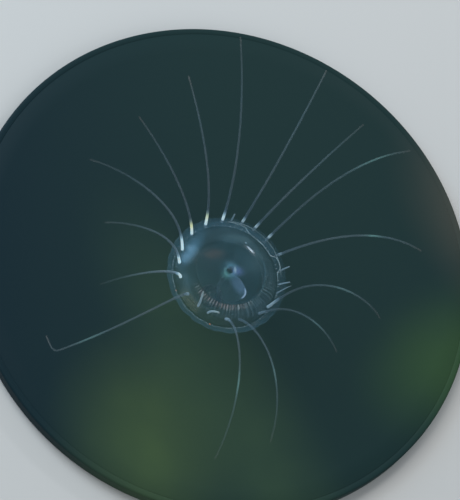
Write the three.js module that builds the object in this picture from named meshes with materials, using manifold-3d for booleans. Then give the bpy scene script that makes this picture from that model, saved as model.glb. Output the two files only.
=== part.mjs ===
// A narcomedusa, a small glassy jellyfish with stiff tentacles, as a life-size display model.
//
// Units are millimetres and +Z is up. The origin is the middle of the underside of the stand's base.
// The bell stands mouth down on one rod. Heights inside the bell are counted from a level just above
// its margin, and azimuths are degrees round its axis, counter-clockwise from +X as seen from above.
import * as THREE from 'three';
import { mergeVertices } from 'three/addons/utils/BufferGeometryUtils.js';
import Module from 'manifold-3d';

const wasm = await Module();
wasm.setup();

// ---- Driving dimensions -------------------------------------------------------------------------

// Bell
const BELL_RADIUS = 19.9;
const RIM_HEIGHT = 0.8; // where the bell is widest
const DOME_HEIGHT = 11.8;
const DOME_POWER = 2.2; // 2 would be a parabola; more makes the top flatter
const ROOT_RADIUS = 16.9; // the circle the tentacles grow from
const ROOT_HEIGHT = 5.1;
const MARGIN_RADIUS = 17.4; // inner edge of the lappets
const MARGIN_HEIGHT = -0.9;
const LIP_RADIUS = 18.2; // the lappets' lowest line
const LIP_HEIGHT = -1.0;
const DISC_RADIUS = 15.3; // the solid lens in the middle of the bell
const DISC_UNDERSIDE = 5.3;
const PART_GAP = 0.3; // between pieces of the bell that touch in life
const GROOVE_DEPTH = 0.35; // groove from each tentacle down to the margin
const GROOVE_LIFT = 0.45; // how far the margin is raised where a groove meets it

// Under the bell
const STOMACH_RADIUS = 11.4;
const STOMACH_ROOF = 5.0;
const STOMACH_THICKNESS = 0.7;
const STOMACH_RISE = 0.4; // the roof is this much higher round the mouth
const GONAD_INNER = 11.7;
const GONAD_OUTER = 14.4;
const GONAD_PLEATS = 21;
const GONAD_DEPTH = 1.15; // from the ring's flat top to its lowest pleats
const PLEAT_DEPTH = 0.45;
const MOUTH_RADIUS = 1.05;
const LIP_WIDTH = 0.9;
const LIP_DEPTH = 0.75;
const VELUM_OUTER = 16.8;
const VELUM_INNER = 12.5;
const VELUM_SAG = 0.9; // how much lower its free edge hangs
const VELUM_THICKNESS = 0.6;

// Tentacles
const ROOT_THICKNESS = 1;
const TIP_THICKNESS = 0.56;
const ROOT_SINK = 0.7; // how deep a tentacle sits in the bell
const SOCKET_CLEARANCE = 0.32;
const SOCKET_DEPTH = 2.4; // along the tentacle, far enough to clear the bell
const CUT_GAP = 0.3; // between the lengths of one tentacle
const LONGEST_LENGTH = 26;
const TENTACLE_SIDES = 6;

// Stand
const BASE_RADIUS = 86;
const BASE_THICKNESS = 5;
const BASE_BEVEL = 0.8;
const ROD_RADIUS = 0.75;
const ROD_FOOT_RADIUS = 4;
const ROD_FOOT_HEIGHT = 1.4;
const ROD_FILLET = 0.6;
const ROD_END = 6.9; // height of the rod's upper end inside the bell
const BELL_AXIS = new THREE.Vector2(2.5, -12); // where the bell's axis meets the base
const BELL_LIFT = 24; // height of the bell's own zero level above the ground

// Full-grown tentacles. `rise` and `droop` are the angles above the horizontal at the root and at
// the tip, `bend` says how late the change comes (1 is even), `lean` is how far the root points to
// the side of the bell's radius, and `swing` how much further it has turned at the tip.
// `hook` is a last sharp turn sideways near the tip. Sideways turns are counter-clockwise.
const TENTACLES = [
  { azimuth: 210, length: 43, rise: 72, droop: -30, bend: 1.8, lean: 0, swing: 0, hook: 0 },
  { azimuth: 194, length: 57, rise: 74, droop: -22, bend: 1.5, lean: -2, swing: 0, hook: 0 },
  { azimuth: 173, length: 52, rise: 76, droop: 25, bend: 0.7, lean: 0, swing: 0, hook: 0 },
  { azimuth: 153, length: 57, rise: 76, droop: 14, bend: 1.1, lean: 0, swing: -8, hook: 0 },
  { azimuth: 133, length: 68, rise: 75, droop: 18, bend: 1.1, lean: 0, swing: 0, hook: 0 },
  { azimuth: 111, length: 62, rise: 75, droop: 14, bend: 1, lean: -11, swing: 0, hook: 0 },
  { azimuth: 96, length: 53, rise: 70, droop: 5, bend: 1, lean: -18, swing: 0, hook: 0 },
  { azimuth: 78, length: 60, rise: 60, droop: -5, bend: 2, lean: -2, swing: -29, hook: 0 },
  { azimuth: 57, length: 51, rise: 45, droop: -23, bend: 1.6, lean: -10, swing: -31, hook: 0 },
  { azimuth: 352, length: 56, rise: 82, droop: -38, bend: 2.5, lean: 29, swing: -28, hook: 0 },
  { azimuth: 339, length: 42, rise: 74, droop: -38, bend: 2.2, lean: 15, swing: -13, hook: 0 },
  { azimuth: 314, length: 57, rise: 66, droop: -10, bend: 0.8, lean: 10, swing: -36, hook: 0 },
  { azimuth: 299, length: 64, rise: 76, droop: -16, bend: 0.65, lean: 6, swing: -25, hook: 0 },
  { azimuth: 248, length: 66, rise: 76, droop: -16, bend: 0.45, lean: 5, swing: -20, hook: -90 },
  { azimuth: 227, length: 34, rise: 82, droop: -36, bend: 0.7, lean: 2, swing: 0, hook: 0 },
];

// Young tentacles between them, still short rods.
const YOUNG_TENTACLES = [
  { azimuth: 123, length: 5.5, rise: 86, droop: 78, bend: 1, lean: 0, swing: 0, hook: 0 },
  { azimuth: 39, length: 5, rise: 74, droop: 55, bend: 1, lean: 0, swing: 0, hook: 0 },
  { azimuth: 23, length: 5, rise: 66, droop: 50, bend: 1, lean: 0, swing: 0, hook: 0 },
  { azimuth: 12, length: 6.5, rise: 75, droop: 35, bend: 1, lean: 40, swing: 0, hook: 0 },
  { azimuth: 278, length: 7, rise: 88, droop: 40, bend: 1, lean: 76, swing: 0, hook: 0 },
  { azimuth: 265, length: 7, rise: 88, droop: 40, bend: 1, lean: -145, swing: 0, hook: 0 },
];

// ---- Materials ----------------------------------------------------------------------------------

const COLOURS = {
  jelly: { color: 0x8fb0c4, roughness: 0.15 },
  lappet: { color: 0x9dbccb, roughness: 0.2 },
  velum: { color: 0xa9c2cc, roughness: 0.3 },
  stomach: { color: 0x4d6f80, roughness: 0.35 },
  gonad: { color: 0x8d6f62, roughness: 0.45 },
  lip: { color: 0xaab4dc, roughness: 0.3 },
  tentacle: { color: 0xb9c6d8, roughness: 0.35 },
  lacquer: { color: 0x14242b, roughness: 0.5 },
  acrylic: { color: 0xc9d8dc, roughness: 0.1 },
};

function finish(name) {
  const { color, roughness } = COLOURS[name];
  return new THREE.MeshStandardMaterial({ name, color, roughness, metalness: 0 });
}

// ---- Shape helpers ------------------------------------------------------------------------------

// A lathe turns about +Y; this lays its axis along +Z without mirroring it.
const LATHE_TO_Z_UP = new THREE.Matrix4().set(0, 0, 1, 0, 1, 0, 0, 0, 0, 1, 0, 0, 0, 0, 0, 1);

// A solid of revolution from [radius, height] pairs that run counter-clockwise, from axis to axis.
function turned(profile, segments) {
  const points = profile.map(([radius, height]) => new THREE.Vector2(radius, height));
  return new THREE.LatheGeometry(points, segments).applyMatrix4(LATHE_TO_Z_UP);
}

// A ring from the closed outline of its section, listed either way round.
function ring(outline, segments) {
  const points = outline.map(([radius, height]) => new THREE.Vector2(radius, height));
  const ordered = THREE.ShapeUtils.area(points) > 0 ? outline : [...outline].reverse();
  return turned([...ordered, ordered[0]], segments);
}

// Moves every vertex of a geometry to where `place` puts it.
function reshaped(geometry, place) {
  const positions = geometry.getAttribute('position');
  const vertex = new THREE.Vector3();
  for (let index = 0; index < positions.count; index += 1) {
    vertex.fromBufferAttribute(positions, index);
    place(vertex);
    positions.setXYZ(index, vertex.x, vertex.y, vertex.z);
  }
  return geometry;
}

// One closed skin: shared vertices merged, and the empty triangles at a lathe's poles left out.
function closed(geometry) {
  geometry.deleteAttribute('normal');
  geometry.deleteAttribute('uv');
  const merged = mergeVertices(geometry, 1e-5);
  const corners = merged.getIndex().array;
  const kept = [];
  for (let start = 0; start < corners.length; start += 3) {
    const [a, b, c] = corners.slice(start, start + 3);
    if (a !== b && b !== c && c !== a) {
      kept.push(a, b, c);
    }
  }
  merged.setIndex(kept);
  return merged;
}

function toSolid(geometry) {
  const shell = closed(geometry);
  return new wasm.Manifold(new wasm.Mesh({
    numProp: 3,
    vertProperties: new Float32Array(shell.getAttribute('position').array),
    triVerts: new Uint32Array(shell.getIndex().array),
  }));
}

function fromSolid(solid) {
  const { vertProperties, triVerts } = solid.getMesh();
  const geometry = new THREE.BufferGeometry();
  geometry.setAttribute('position', new THREE.BufferAttribute(new Float32Array(vertProperties), 3));
  geometry.setIndex(Array.from(triVerts));
  return geometry;
}

// ---- Tentacles ----------------------------------------------------------------------------------

const PATH_STEPS = 160;
const HOOK_SHARE = 0.12; // share of a tentacle's length that its hook takes
const SWING_LATENESS = 1.6; // sideways turns come mostly towards the tip

const mix = (from, to, share) => from + (to - from) * share;

// The middle line of a tentacle, walked from its root in short straight steps.
function tentaclePath({ azimuth, length, rise, droop, bend, lean, swing, hook }) {
  const direction = (share) => {
    const hooked = THREE.MathUtils.smoothstep(share, 1 - HOOK_SHARE, 1 - HOOK_SHARE / 2);
    const sideways = lean + swing * share ** SWING_LATENESS + hook * hooked;
    const up = THREE.MathUtils.degToRad(mix(rise, droop, share ** bend));
    const heading = THREE.MathUtils.degToRad(azimuth + sideways);
    return {
      along: new THREE.Vector3(
        Math.cos(up) * Math.cos(heading), Math.cos(up) * Math.sin(heading), Math.sin(up)),
      side: new THREE.Vector3(-Math.sin(heading), Math.cos(heading), 0),
    };
  };
  const around = THREE.MathUtils.degToRad(azimuth);
  const root = new THREE.Vector3(
    ROOT_RADIUS * Math.cos(around), ROOT_RADIUS * Math.sin(around), ROOT_HEIGHT);
  const points = [root.addScaledVector(direction(0).along, -ROOT_SINK)];
  const step = length / PATH_STEPS;
  for (let index = 0; index < PATH_STEPS; index += 1) {
    const { along } = direction((index + 0.5) / PATH_STEPS);
    points.push(points[index].clone().addScaledVector(along, step));
  }
  return (distance) => {
    const share = THREE.MathUtils.clamp(distance / length, 0, 1);
    const index = Math.min(Math.floor(share * PATH_STEPS), PATH_STEPS - 1);
    const { along, side } = direction(share);
    const centre = points[index].clone().addScaledVector(
      direction((index + 0.5) / PATH_STEPS).along, distance - index * step);
    return { centre, side, up: new THREE.Vector3().crossVectors(along, side) };
  };
}

const TAPER = 0.7; // under 1, so that a tentacle thins faster near its root
const thickness = (share) => mix(ROOT_THICKNESS, TIP_THICKNESS, share ** TAPER);

// A tapered rod from `start` to `end`, bent along the tentacle's path.
function bentRod(spec, start, end, steps, { extra = 0, tip = false } = {}) {
  const path = tentaclePath(spec);
  const radius = (distance) => thickness(THREE.MathUtils.clamp(distance / spec.length, 0, 1)) / 2 + extra;
  const profile = [[0, start]];
  for (let index = 0; index <= steps; index += 1) {
    const distance = mix(start, end, index / steps);
    profile.push([radius(distance), distance]);
  }
  if (tip) {
    profile.push([radius(end) * 0.6, end + TIP_THICKNESS * 0.35]);
  }
  profile.push([0, end + (tip ? TIP_THICKNESS * 0.5 : 0)]);
  return reshaped(turned(profile, TENTACLE_SIDES), (vertex) => {
    const { centre, side, up } = path(vertex.z);
    const { x, y } = vertex;
    vertex.copy(centre).addScaledVector(side, x).addScaledVector(up, y);
  });
}

// ---- Bell ---------------------------------------------------------------------------------------

const ALL_TENTACLES = [...TENTACLES, ...YOUNG_TENTACLES].sort((a, b) => a.azimuth - b.azimuth);
const LAPPETS = ALL_TENTACLES.length;
const STEPS_PER_LAPPET = 3;

// Height of the bell's outside, out to the circle of the tentacles.
const DOME_REACH = ROOT_RADIUS / (1 - ROOT_HEIGHT / DOME_HEIGHT) ** (1 / DOME_POWER);
const domeHeight = (radius) => DOME_HEIGHT * (1 - (radius / DOME_REACH) ** DOME_POWER);

// How far round the bell a point is, from 0 to 1.
const turnOf = ({ x, y }) => (Math.atan2(y, x) / (2 * Math.PI) + 1) % 1;

// The solid lens of jelly over the stomach, with a blind socket for the rod.
function umbrellaDisc() {
  const socketRadius = ROD_RADIUS + PART_GAP;
  const socketTop = ROD_END + PART_GAP;
  const socketMouth = STOMACH_ROOF + STOMACH_RISE + 2 * PART_GAP;
  const profile = [[0, socketTop], [socketRadius, socketTop], [socketRadius, socketMouth]];
  profile.push([STOMACH_RADIUS, DISC_UNDERSIDE], [DISC_RADIUS, DISC_UNDERSIDE]);
  const domeSteps = 7;
  for (let index = 0; index <= domeSteps; index += 1) {
    const radius = index === domeSteps ? 0 : DISC_RADIUS * Math.cos((index / domeSteps) * Math.PI / 2);
    profile.push([radius, domeHeight(radius)]);
  }
  return turned(profile, 42);
}

// The rim of the bell, parted by a groove below each tentacle into rounded lappets.
function lappetRing() {
  const inner = DISC_RADIUS + PART_GAP;
  const outside = new THREE.SplineCurve([
    new THREE.Vector2(inner, domeHeight(inner)),
    new THREE.Vector2(ROOT_RADIUS, ROOT_HEIGHT),
    new THREE.Vector2(mix(ROOT_RADIUS, BELL_RADIUS, 0.6), mix(ROOT_HEIGHT, RIM_HEIGHT, 0.35)),
    new THREE.Vector2(BELL_RADIUS, RIM_HEIGHT),
    new THREE.Vector2(mix(BELL_RADIUS, LIP_RADIUS, 0.35), mix(RIM_HEIGHT, LIP_HEIGHT, 0.8)),
    new THREE.Vector2(LIP_RADIUS, LIP_HEIGHT),
    new THREE.Vector2(MARGIN_RADIUS, MARGIN_HEIGHT),
  ]).getPoints(7).map(({ x, y }) => [x, y]);
  const ceiling = DISC_UNDERSIDE - 2 * PART_GAP;
  const inside = [
    [mix(MARGIN_RADIUS, inner, 0.35), mix(MARGIN_HEIGHT, ceiling, 0.5)],
    [mix(MARGIN_RADIUS, inner, 0.75), mix(MARGIN_HEIGHT, ceiling, 0.85)],
    [inner, ceiling],
  ];
  const segments = LAPPETS * STEPS_PER_LAPPET;
  const body = reshaped(ring([...outside, ...inside], segments), (vertex) => {
    const radius = Math.hypot(vertex.x, vertex.y);
    const step = Math.round(turnOf(vertex) * segments) % segments;
    const lappet = Math.floor(step / STEPS_PER_LAPPET);
    const share = (step % STEPS_PER_LAPPET) / STEPS_PER_LAPPET;
    const from = ALL_TENTACLES[lappet].azimuth;
    const to = ALL_TENTACLES[(lappet + 1) % LAPPETS].azimuth + (lappet + 1 === LAPPETS ? 360 : 0);
    const around = THREE.MathUtils.degToRad(mix(from, to, share));
    const groove = 1 - Math.sqrt(Math.sin(Math.PI * share));
    const outer = THREE.MathUtils.smoothstep(radius, ROOT_RADIUS, BELL_RADIUS);
    const reach = radius - GROOVE_DEPTH * groove * outer;
    const low = THREE.MathUtils.clamp((RIM_HEIGHT - vertex.z) / (RIM_HEIGHT - LIP_HEIGHT), 0, 1);
    const height = vertex.z + GROOVE_LIFT * groove * low;
    vertex.set(reach * Math.cos(around), reach * Math.sin(around), height);
  });
  return fromSolid(ALL_TENTACLES.reduce((solid, spec) => {
    const socket = bentRod(spec, -SOCKET_CLEARANCE, SOCKET_DEPTH, 1, { extra: SOCKET_CLEARANCE });
    return solid.subtract(toSolid(socket));
  }, toSolid(body)));
}

// The thin shelf that reaches inwards from the margin and sags towards its free edge.
function velum() {
  const half = VELUM_THICKNESS / 2;
  const middle = mix(VELUM_INNER, VELUM_OUTER, 0.5);
  const sagged = MARGIN_HEIGHT - VELUM_SAG * 0.35;
  const edge = MARGIN_HEIGHT - VELUM_SAG;
  return ring([
    [VELUM_INNER, edge], [middle, sagged - half], [VELUM_OUTER, MARGIN_HEIGHT - half],
    [VELUM_OUTER, MARGIN_HEIGHT + half], [middle, sagged + half], [VELUM_INNER, edge + VELUM_THICKNESS],
  ], 42);
}

// The flat, round stomach under the lens. The mouth goes right through it.
function stomach() {
  const floor = STOMACH_ROOF - STOMACH_THICKNESS;
  return ring([
    [MOUTH_RADIUS, floor], [MOUTH_RADIUS + LIP_WIDTH, floor], [STOMACH_RADIUS, floor + 0.1],
    [STOMACH_RADIUS, STOMACH_ROOF], [MOUTH_RADIUS, STOMACH_ROOF + STOMACH_RISE],
  ], 36);
}

// The pleated ring of gonads round the stomach's edge.
function gonadRing() {
  const steps = GONAD_PLEATS * 2;
  const width = GONAD_OUTER - GONAD_INNER;
  const top = STOMACH_ROOF;
  const lowest = top - GONAD_DEPTH;
  const shoulder = lowest + PLEAT_DEPTH;
  const profile = [
    [GONAD_INNER, top], [GONAD_INNER, shoulder], [GONAD_INNER + width / 4, lowest],
    [GONAD_OUTER - width / 4, lowest], [GONAD_OUTER, shoulder], [GONAD_OUTER, top],
  ];
  return reshaped(ring(profile, steps), (vertex) => {
    const pleat = Math.round(turnOf(vertex) * steps) % 2;
    if (vertex.z < shoulder - PLEAT_DEPTH / 2) {
      vertex.z += PLEAT_DEPTH * pleat;
    }
  });
}

// The soft lip that hangs round the mouth.
function mouthLip() {
  const top = STOMACH_ROOF - STOMACH_THICKNESS - PART_GAP;
  const waist = top - LIP_DEPTH * 0.65;
  return ring([
    [MOUTH_RADIUS, top], [MOUTH_RADIUS + LIP_WIDTH, top], [MOUTH_RADIUS + LIP_WIDTH * 0.9, waist],
    [MOUTH_RADIUS + LIP_WIDTH * 0.4, top - LIP_DEPTH], [MOUTH_RADIUS, waist],
  ], 20);
}

// ---- Stand --------------------------------------------------------------------------------------

function standBase() {
  return turned([
    [0, 0], [BASE_RADIUS - BASE_BEVEL, 0], [BASE_RADIUS, BASE_BEVEL],
    [BASE_RADIUS, BASE_THICKNESS - BASE_BEVEL], [BASE_RADIUS - BASE_BEVEL, BASE_THICKNESS],
    [0, BASE_THICKNESS],
  ], 60);
}

// A slim rod on a small round foot. Its upper end goes through the mouth into the lens of jelly.
function standRod() {
  const end = BELL_LIFT + ROD_END;
  const footTop = BASE_THICKNESS + ROD_FOOT_HEIGHT;
  return turned([
    [0, BASE_THICKNESS], [ROD_FOOT_RADIUS, BASE_THICKNESS], [ROD_FOOT_RADIUS, footTop - ROD_FILLET],
    [ROD_FOOT_RADIUS - ROD_FILLET, footTop], [ROD_RADIUS + ROD_FILLET, footTop],
    [ROD_RADIUS, footTop + ROD_FILLET], [ROD_RADIUS, end], [0, end],
  ], 12);
}

// ---- Assembly -----------------------------------------------------------------------------------

const model = new THREE.Group();
model.name = 'narcomedusa_on_stand';

const bell = new THREE.Group();
bell.position.set(BELL_AXIS.x, BELL_AXIS.y, BELL_LIFT);
model.add(bell);

function addPiece(parent, name, geometry, material) {
  const mesh = new THREE.Mesh(closed(geometry), finish(material));
  mesh.name = name;
  parent.add(mesh);
  return mesh;
}

addPiece(bell, 'umbrella_disc', umbrellaDisc(), 'jelly');
addPiece(bell, 'lappet_ring', lappetRing(), 'lappet');
addPiece(bell, 'velum', velum(), 'velum');
addPiece(bell, 'stomach', stomach(), 'stomach');
addPiece(bell, 'gonad_ring', gonadRing(), 'gonad');
addPiece(bell, 'mouth_lip', mouthLip(), 'lip');

const twoDigits = (index) => String(index + 1).padStart(2, '0');
const LENGTH_NAMES = { 2: ['inner', 'outer'], 3: ['inner', 'middle', 'outer'] };

TENTACLES.forEach((spec, index) => {
  const count = Math.ceil(spec.length / LONGEST_LENGTH);
  LENGTH_NAMES[count].forEach((part, order) => {
    const start = (spec.length * order) / count + (order > 0 ? CUT_GAP / 2 : 0);
    const last = order === count - 1;
    const end = (spec.length * (order + 1)) / count - (last ? TIP_THICKNESS / 2 : CUT_GAP / 2);
    const rod = bentRod(spec, start, end, last ? 8 : 6, { tip: last });
    addPiece(bell, `tentacle_${twoDigits(index)}_${part}`, rod, 'tentacle');
  });
});

YOUNG_TENTACLES.forEach((spec, index) => {
  const rod = bentRod(spec, 0, spec.length - TIP_THICKNESS / 2, 4, { tip: true });
  addPiece(bell, `young_tentacle_${twoDigits(index)}`, rod, 'tentacle');
});

addPiece(model, 'stand_base', standBase(), 'lacquer');
const rod = addPiece(model, 'stand_rod', standRod(), 'acrylic');
rod.position.set(BELL_AXIS.x, BELL_AXIS.y, 0);

export default model;
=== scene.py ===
"""A narcomedusa jellyfish held over its display stand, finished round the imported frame.

The bell, its organs and every tentacle are built as smooth skins in the bell's own frame, which
stands upright on the axis of the rod. Lengths in the tables are millimetres, and everything that
Blender gets is metres.
"""

import math
from typing import NamedTuple

import bpy
import numpy as np
from mathutils import Matrix, Vector


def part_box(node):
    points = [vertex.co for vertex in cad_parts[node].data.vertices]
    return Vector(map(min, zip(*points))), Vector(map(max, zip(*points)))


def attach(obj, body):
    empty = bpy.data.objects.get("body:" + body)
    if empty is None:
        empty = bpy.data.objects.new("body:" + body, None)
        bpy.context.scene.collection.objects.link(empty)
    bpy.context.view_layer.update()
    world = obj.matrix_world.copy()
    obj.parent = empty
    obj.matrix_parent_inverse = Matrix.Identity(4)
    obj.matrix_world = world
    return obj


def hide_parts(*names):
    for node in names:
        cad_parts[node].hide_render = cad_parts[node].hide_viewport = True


bl_info = {
    "name": "Narcomedusa on a stand",
    "version": (1, 0, 0),
    "blender": (4, 5, 0),
    "location": "3D View > Sidebar > Jellyfish",
    "description": "Builds the skins, organs, tentacles and stand of a small glassy jellyfish",
    "category": "Object",
}

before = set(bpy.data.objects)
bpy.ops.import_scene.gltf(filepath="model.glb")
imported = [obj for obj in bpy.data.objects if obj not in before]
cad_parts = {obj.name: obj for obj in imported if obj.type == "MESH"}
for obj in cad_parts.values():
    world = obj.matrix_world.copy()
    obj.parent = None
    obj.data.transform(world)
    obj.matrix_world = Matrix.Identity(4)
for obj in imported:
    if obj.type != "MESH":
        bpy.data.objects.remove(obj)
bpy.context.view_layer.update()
MM = 0.001
TURN = 2.0 * math.pi


# ---- The bell's own frame ----

# Radii and heights of the bell's section, in millimetres from the bell's zero level.
ROOT_RADIUS, ROOT_HEIGHT = 16.9, 5.1
RIM_HEIGHT = 0.8
LIP_RADIUS, LIP_HEIGHT = 18.2, -1.0
MARGIN_RADIUS, MARGIN_HEIGHT = 17.4, -0.9
DOME_POWER = 2.2
DISC_RADIUS, DISC_UNDERSIDE = 15.3, 5.3
LENS_RADIUS = 12.8
STOMACH_FLOOR, STOMACH_ROOF = 4.3, 5.0
MOUTH_RADIUS = 1.05
LIP_WIDTH = 0.9
SOCKET_RADIUS, SOCKET_MOUTH = 1.05, 6.0
SOCKET_CLEARANCE = 0.3
GONAD_RIDGES = 4


def middle_of(node):
    """Where the upright axis of a round node stands."""
    low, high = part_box(node)
    return (low + high) / 2


AXIS = middle_of("stand_rod")
BELL_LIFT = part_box("stomach")[0].z - STOMACH_FLOOR * MM
BELL_CENTRE = Vector((AXIS.x, AXIS.y, BELL_LIFT))
SOCKET_TOP = (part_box("stand_rod")[1].z - BELL_LIFT) / MM + SOCKET_CLEARANCE

# What the camera looks at, in millimetres from the middle of the base's underside.
CAMERA_AIM = Vector((-1.43, -5.38, 27.3))


class Tentacle(NamedTuple):
    """One tentacle. Angles are degrees, lengths are millimetres."""
    azimuth: float
    length: float
    rise: float  # above the horizontal at the root
    droop: float  # above the horizontal at the tip
    bend: float = 1.0  # how late the change from one to the other comes
    lean: float = 0.0  # how far the root points to the side of the bell's radius
    swing: float = 0.0  # how much further it has turned at the tip
    hook: float = 0.0  # a last sharp turn
    thick: float = 0.0  # diameter at the root, if it isn't the usual one
    thin: float = 0.0  # diameter at the tip, if it isn't the usual one
    inset: float = 0.0  # how much of the root lies unlit in the jelly
    # glow sets both how white the root is and how strongly it gives out a painted glow.
    glow: float = 0.0  # how white the root is
    reach: float = 8.0  # how far that white runs
    tail: tuple = (0.0, 1.0)  # strength and length of a fainter glow beyond it
    warm: float = 0.0  # how much the white yellows at its outer end
    tone: tuple = (1.0, 1.0, 1.0)  # density of the flesh near the root, in the middle, near the tip
    # The sea-green gleam is a painted sheen in the flesh's colour and opacity.
    shine: float = 0.0  # strength of a sea-green gleam
    at: float = 0.5  # the gleam's place, as a share of the tentacle
    span: float = 0.07  # the gleam's half-length, as a share of the tentacle


TENTACLES = [
    Tentacle(210, 43, 72, -30, bend=1.8, glow=1.0, reach=6.0, tail=(0.42, 12), tone=(2.0, 1.5, 0.5)),
    Tentacle(194, 57, 74, -22, bend=1.5, lean=-2, glow=1.0, reach=9.0, tail=(0.4, 7), tone=(1.7, 1.8, 0.5)),
    Tentacle(173, 52, 76, 25, bend=0.7, inset=0.5, glow=1.0, reach=7.0, warm=0.85, tone=(1.6, 1.5, 0.9)),
    Tentacle(153, 57, 76, 14, bend=1.1, swing=-8, inset=0.6,
             glow=0.95, reach=6.6, warm=0.6, tone=(1.5, 1.4, 1.1)),
    Tentacle(133, 67.9, 75, 18, bend=1.1, inset=0.9, glow=0.85, reach=4.6, tone=(1.3, 1.2, 0.8)),
    Tentacle(111, 62, 75, 14, lean=-11, inset=1.2, glow=0.62, reach=3.4, tone=(1.0, 1.0, 0.9)),
    Tentacle(96, 53, 70, 5, lean=-18, inset=1.2, glow=0.6, reach=3.5, tone=(0.95, 1.05, 0.6)),
    Tentacle(78, 60, 60, -5, bend=2, lean=-2, swing=-29, inset=1.2,
             glow=0.62, reach=3.2, tone=(0.8, 0.75, 0.6), shine=0.6, at=0.79, span=0.1),
    Tentacle(57, 51, 45, -23, bend=1.6, lean=-10, swing=-31, inset=1.0,
             glow=0.4, reach=2.0, tone=(0.7, 0.75, 0.95), shine=0.7, at=0.66, span=0.045),
    Tentacle(352, 56, 82, -38, bend=2.5, lean=29, swing=-28,
             glow=0.46, tone=(1.35, 0.75, 0.65), shine=0.34, at=0.72),
    Tentacle(339, 42, 74, -38, bend=2.2, lean=15, swing=-13,
             glow=0.2, reach=5.0, tone=(0.9, 0.6, 0.55), shine=0.3, at=0.74),
    Tentacle(314, 57, 66, -10, bend=0.8, lean=10, swing=-36,
             glow=0.05, reach=5.0, tone=(0.6, 0.55, 0.35), shine=0.36, at=0.58, span=0.08),
    Tentacle(299, 64, 76, -16, bend=0.65, lean=6, swing=-25,
             glow=0.38, reach=4.6, tone=(0.85, 0.5, 0.35), shine=0.65, at=0.59),
    Tentacle(248, 66, 76, -16, bend=0.45, lean=5, swing=-20, hook=-90,
             glow=0.4, reach=4.0, tone=(0.9, 0.8, 0.8), shine=0.42, at=0.73),
    Tentacle(227, 34, 82, -36, bend=0.7, lean=2, glow=1.0, reach=5.2, tail=(0.5, 8), tone=(2.0, 1.4, 0.25)),
]
YOUNG_TENTACLES = [
    Tentacle(123, 5.5, 86, 78, glow=0.36, inset=0.6, thick=0.5),
    Tentacle(39, 5, 74, 55, glow=0.34, inset=0.6, thick=0.6, thin=0.4),
    Tentacle(23, 5, 66, 50, glow=0.32, thick=0.6, thin=0.4),
    Tentacle(12, 6.5, 75, 35, lean=40, glow=0.25, reach=6.0, thick=0.5, thin=0.32),
    Tentacle(278, 7, 88, 40, lean=76, glow=0.43, thick=0.75, thin=0.6, warm=0.2),
    Tentacle(265, 7, 88, 40, lean=-145, glow=0.45, thick=0.75, thin=0.6, warm=0.15),
]
AZIMUTHS = sorted(spec.azimuth for spec in TENTACLES + YOUNG_TENTACLES)
LAPPETS = len(AZIMUTHS)
# The hook takes this last share of a tentacle, and the swing comes with this power of the share.
HOOK_SHARE = 0.12
SWING_LATENESS = 1.6


# ---- Settings ----

def size_setting(name, millimetres, description):
    """A length the user may change."""
    return bpy.props.FloatProperty(
        name=name, description=description, default=millimetres * MM,
        min=0.0, precision=5, subtype="DISTANCE", unit="LENGTH")


def share_setting(name, default, description):
    return bpy.props.FloatProperty(
        name=name, description=description, default=default, min=0.0, max=1.0, subtype="FACTOR")


def colour_setting(name, default, description):
    return bpy.props.FloatVectorProperty(
        name=name, description=description, default=default, min=0.0, max=1.0, size=3,
        subtype="COLOR")


def angle_setting(name, degrees, description):
    return bpy.props.FloatProperty(
        name=name, description=description, default=math.radians(degrees), subtype="ANGLE",
        unit="ROTATION")


class BellSettings(bpy.types.PropertyGroup):
    """Shape and jelly of the bell."""
    radius: size_setting("Bell radius", 19.85, "Where the bell is widest")
    dome_height: size_setting("Dome height", 11.8, "Top of the bell above its zero level")
    groove_depth: size_setting("Groove depth", 0.4, "How far each groove cuts into the rim")
    groove_lift: size_setting("Groove lift", 0.5, "How far a groove raises the margin at its end")
    jelly_colour: colour_setting("Jelly", (0.10, 0.29, 0.47), "Colour of the clear jelly")
    # Colour of the painted highlight on one side of the dome; the milkiness setting below is the jelly's
    # real haze.
    painted_highlight_colour: colour_setting("Haze", (0.16, 0.42, 0.66), "Colour of the hazy side")
    line_colour: colour_setting("Lines", (0.36, 0.54, 0.62), "Colour of the fine lines in the rim")
    haze_and_painted_highlight: share_setting("Milkiness", 0.2, "How milky the jelly is between the disc and the rim")


class OrganSettings(bpy.types.PropertyGroup):
    """Stomach, gonads, mouth and velum."""
    stomach_radius: size_setting("Stomach radius", 11.4, "Radius of the flat stomach")
    gonad_inner: size_setting("Gonads, inside", 11.7, "Inner radius of the pleated ring")
    gonad_outer: size_setting("Gonads, outside", 14.4, "Outer radius of the pleated ring")
    velum_inner: size_setting("Velum, inside", 12.5, "Radius of the opening in the velum")
    velum_outer: size_setting("Velum, outside", 16.8, "Where the velum meets the margin")
    stomach_colour: colour_setting("Stomach", (0.046, 0.122, 0.160), "Colour of the stomach wall")
    gonad_colour: colour_setting("Gonads", (0.24, 0.19, 0.185), "Colour of the pleats")
    lip_colour: colour_setting("Mouth", (0.22, 0.34, 0.62), "Colour of the lip of the mouth")


class TentacleSettings(bpy.types.PropertyGroup):
    """Thickness and colour of the tentacles."""
    root_thickness: size_setting("Root thickness", 0.93, "Diameter where a tentacle leaves the bell")
    tip_thickness: size_setting("Tip thickness", 0.52, "Diameter at the end of a tentacle")
    root_sink: size_setting("Root depth", 0.7, "How deep a root sits in the jelly")
    cell_length: size_setting("Cell length", 0.55, "Spacing of the stacked cells that show as rings")
    flesh_colour: colour_setting("Tentacle", (0.13, 0.19, 0.23), "Colour of the middle of a tentacle")
    # Strength of the painted glow that the white roots emit, which keeps them bright on their shaded side.
    painted_root_glow: share_setting("Gleam", 0.36, "How much light the white roots give back on their shaded side")
    glow_colour: colour_setting("Root", (0.70, 0.92, 1.0), "Colour of the brightest roots")


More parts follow.
